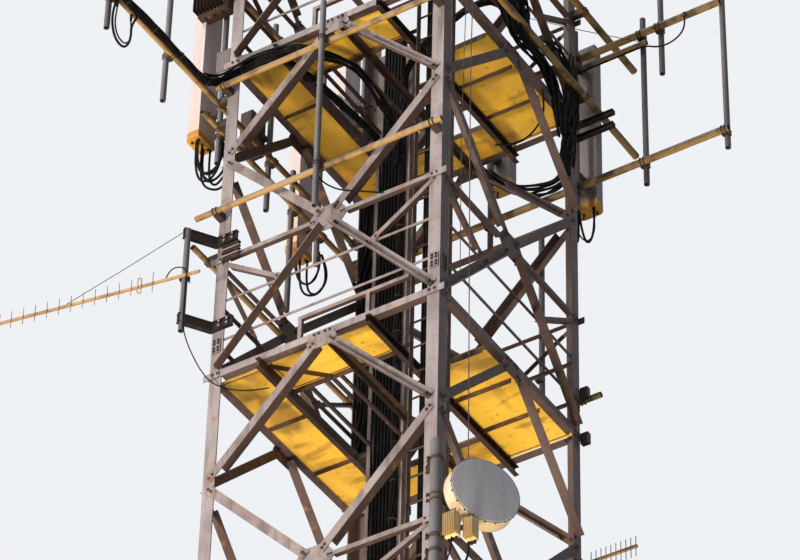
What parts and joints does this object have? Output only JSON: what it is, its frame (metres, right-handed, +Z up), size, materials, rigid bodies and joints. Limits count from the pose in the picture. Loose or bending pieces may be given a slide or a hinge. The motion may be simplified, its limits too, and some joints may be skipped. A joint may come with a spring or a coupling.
{
  "type": "cell tower",
  "caption": "Square self-supporting steel lattice cell tower on four feet, with crossed angle bracing, yellow working platforms, climbing ladder, cable ladder, mounting pipes and antennas.",
  "frame": {"origin": "middle of the four feet, on the ground, which is the centre of the outermost anchor holes", "axes": "+Z up the tower, -Y out of the front face, +X out of the right face"},
  "size_m": [6.2207, 5.35, 10.9],
  "materials": {
    "tower_steel": "weathered matt",
    "bracing_steel": "weathered matt, rust stained",
    "dark_steel": "brown oxidised",
    "rail_steel": "dull galvanised",
    "platform_paint": "stained satin",
    "cable_jacket": "matt",
    "pipe_steel": "dull galvanised",
    "upright_steel": "dull galvanised",
    "clamp_steel": "ochre weathered",
    "antenna_shell": "sun-faded shell",
    "antenna_metal": "weathered aluminium",
    "black_bracket": "black satin",
    "dish_shell": "cream painted",
    "radome_cover": "weathered cover",
    "unit_shell": "faded shell"
  },
  "bodies": {
    "root": {"leg_front_left": "tower_steel", "leg_front_right": "tower_steel", "leg_back_right": "tower_steel", "leg_back_left": "tower_steel", "foot_plates": "tower_steel", "foot_ribs": "tower_steel", "leg_splices": "tower_steel", "front_diagonals": "bracing_steel", "right_diagonals": "bracing_steel", "back_diagonals": "bracing_steel", "left_diagonals": "bracing_steel", "platform_struts": "tower_steel", "middle_horizontals": "bracing_steel", "sub_braces": "bracing_steel", "hub_gussets": "bracing_steel", "small_gussets": "tower_steel", "guard_rails": "rail_steel", "lower_floor_plates": "platform_paint", "upper_floor_plates": "platform_paint", "floor_beams": "dark_steel", "floor_bearers": "dark_steel", "plan_bracing": "dark_steel", "ladder_stiles": "dark_steel", "ladder_rungs": "dark_steel", "ladder_guide": "rail_steel", "platform_brackets": "dark_steel", "cable_tray_stiles": "rail_steel", "cable_tray_rungs": "rail_steel", "feeder_cables": "cable_jacket", "front_pipes": "pipe_steel", "back_pipes": "pipe_steel", "left_pipes": "pipe_steel", "right_pipes": "pipe_steel", "pipe_clamps": "clamp_steel", "upright_pipes": "upright_steel", "crossing_clamps": "clamp_steel", "back_cross_bar": "bracing_steel", "panel_antennas": "antenna_shell", "panel_brackets": "clamp_steel", "yagi_boom": "antenna_metal", "yagi_elements": "antenna_metal", "yagi_mount": "black_bracket", "small_yagi": "antenna_metal", "dish_drum": "dish_shell", "dish_radome": "radome_cover", "dish_mount": "clamp_steel", "radio_units": "unit_shell", "run_cables": "cable_jacket", "first_jumper": "cable_jacket", "second_jumper": "cable_jacket", "third_jumper": "cable_jacket", "fourth_jumper": "cable_jacket", "boom_loop": "cable_jacket", "pipe_loop": "cable_jacket", "yagi_feeder": "cable_jacket", "unit_cable": "cable_jacket", "cable_connectors": "black_bracket"}
  },
  "joints": []
}
